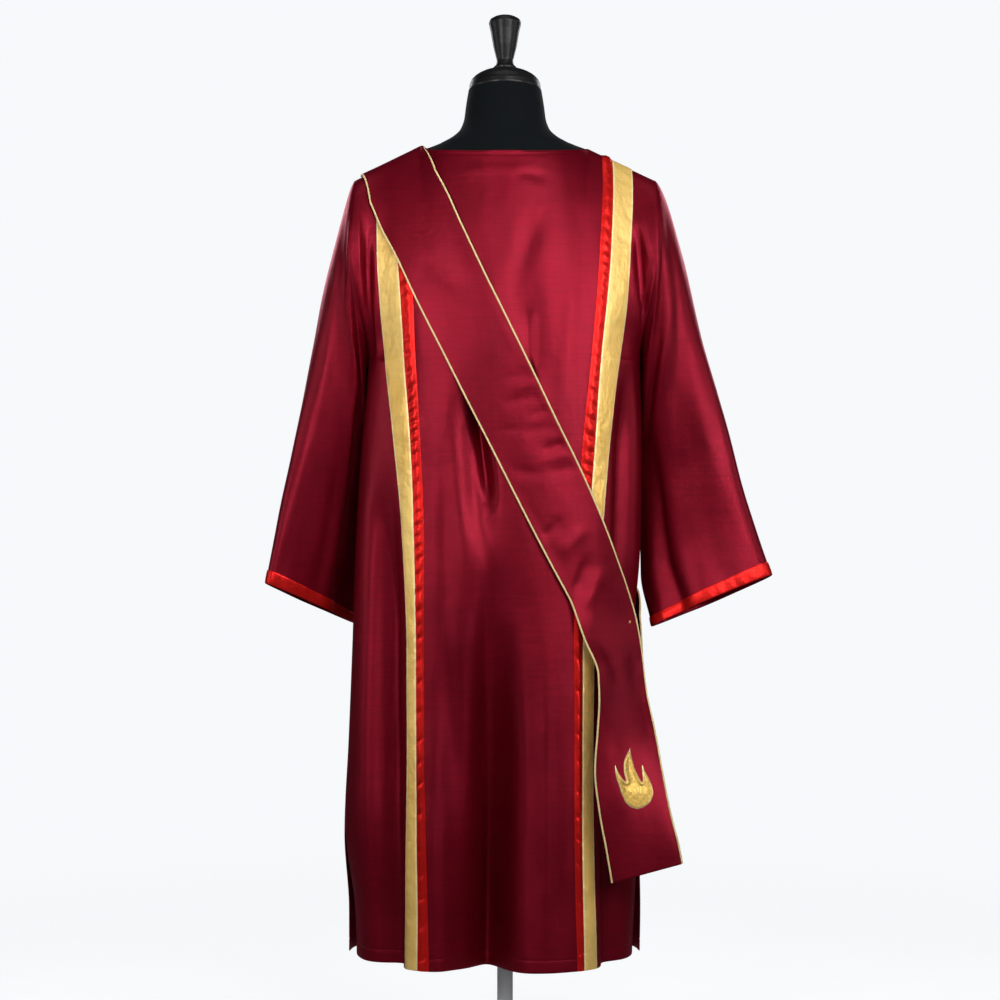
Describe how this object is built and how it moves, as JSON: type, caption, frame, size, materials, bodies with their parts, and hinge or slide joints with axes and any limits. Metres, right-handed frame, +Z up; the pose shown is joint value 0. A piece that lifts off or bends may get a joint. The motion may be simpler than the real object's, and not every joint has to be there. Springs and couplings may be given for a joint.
{
  "type": "dalmatic with matching deacon's stole on a limbless dress form",
  "caption": "Wide-sleeved satin dalmatic with vertical orphreys and cuff bands, a matching diagonal stole, on a dress form with pole and round base.",
  "frame": {"origin": "centre of the base plate's underside, on the pole's axis", "axes": "+Z up, +Y to the wearer's front, +X to the wearer's right"},
  "size_m": [0.8116, 0.36, 1.6867],
  "materials": {
    "burgundy_satin": "soft satin weave",
    "gold_satin": "mottled gold satin",
    "red_satin": "bright satin",
    "pale_gold_cord": "twisted cord",
    "gold_thread": "satin-stitch embroidery",
    "black_jersey": "matt jersey cover",
    "black_lacquered_wood": "black lacquer",
    "brushed_steel": "brushed"
  },
  "bodies": {
    "root": {"panel_back": "burgundy_satin", "panel_front": "burgundy_satin", "sleeve_left": "burgundy_satin", "sleeve_right": "burgundy_satin", "cuff_band_left": "red_satin", "cuff_band_right": "red_satin", "orphrey_gold_back_left": "gold_satin", "orphrey_gold_back_right": "gold_satin", "orphrey_gold_front_left": "gold_satin", "orphrey_gold_front_right": "gold_satin", "orphrey_red_back_left": "red_satin", "orphrey_red_back_right": "red_satin", "orphrey_red_front_left": "red_satin", "orphrey_red_front_right": "red_satin", "stole_back": "burgundy_satin", "stole_front": "burgundy_satin", "piping_back_left": "pale_gold_cord", "piping_back_right": "pale_gold_cord", "piping_front_left": "pale_gold_cord", "piping_front_right": "pale_gold_cord", "stole_flame": "gold_thread", "form_torso": "black_jersey", "neck_cap": "black_lacquered_wood", "neck_finial": "black_lacquered_wood", "stand_pole": "brushed_steel", "stand_collar": "brushed_steel", "stand_base": "brushed_steel"}
  },
  "joints": []
}
